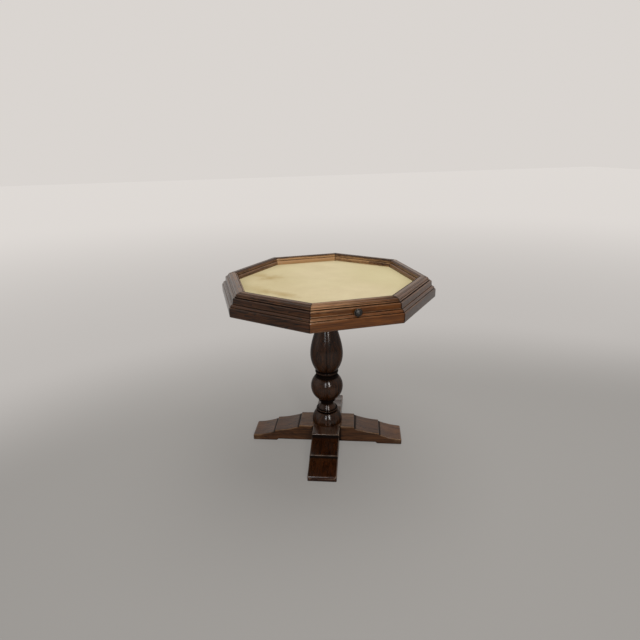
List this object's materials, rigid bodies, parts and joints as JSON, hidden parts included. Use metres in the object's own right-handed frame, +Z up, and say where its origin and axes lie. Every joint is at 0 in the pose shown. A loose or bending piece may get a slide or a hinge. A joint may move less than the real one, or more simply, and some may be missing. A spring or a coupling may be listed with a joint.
{
  "type": "octagonal pedestal gaming table",
  "caption": "Octagonal gaming table: moulded rim round a sunk cloth field, a drawer hidden in one facet, a turned baluster column and stepped cross feet.",
  "frame": {"origin": "on the column's axis at floor level", "axes": "+Z up along the column; the drawer's facet faces -Y and the drawer pulls out along -Y; the octagon's flats are square to X and Y"},
  "size_m": [0.59, 0.5962, 0.55],
  "materials": {
    "rim_wood": "stained and varnished, satin gloss",
    "column_wood": "dark stained and varnished, glossy",
    "foot_wood": "stained and varnished, satin gloss",
    "inner_wood": "bare hardwood",
    "plywood": "bare plywood",
    "cloth": "worn straw-coloured cloth",
    "steel": "zinc plated",
    "brass": "dark antique brass"
  },
  "bodies": {
    "table": {"rail_right": "rim_wood", "rail_back_right": "rim_wood", "rail_back": "rim_wood", "rail_back_left": "rim_wood", "rail_left": "rim_wood", "rail_front_left": "rim_wood", "rail_front_right": "rim_wood", "drawer_rail": "rim_wood", "mitre_splines": "plywood", "playing_board": "plywood", "playing_cloth": "cloth", "corner_blocks": "inner_wood", "bearer": "inner_wood", "bearer_screws": "steel", "runner_left": "inner_wood", "runner_right": "inner_wood", "runner_screws": "steel", "drawer_stop": "inner_wood", "stop_screw": "steel", "column": "column_wood", "tie_rod": "steel", "tie_nuts": "steel", "tie_washers": "steel", "foot_beam_lower": "foot_wood", "foot_beam_upper": "foot_wood"},
    "drawer": {"drawer_front": "rim_wood", "drawer_side_left": "inner_wood", "drawer_side_right": "inner_wood", "drawer_back": "inner_wood", "drawer_bottom": "plywood", "drawer_knob": "brass", "knob_screw": "steel"}
  },
  "joints": [
    {"name": "drawer_slide", "type": "slide", "parent": "table", "child": "drawer", "axis": [0, -1, 0], "range_m": [0, 0.13]}
  ]
}
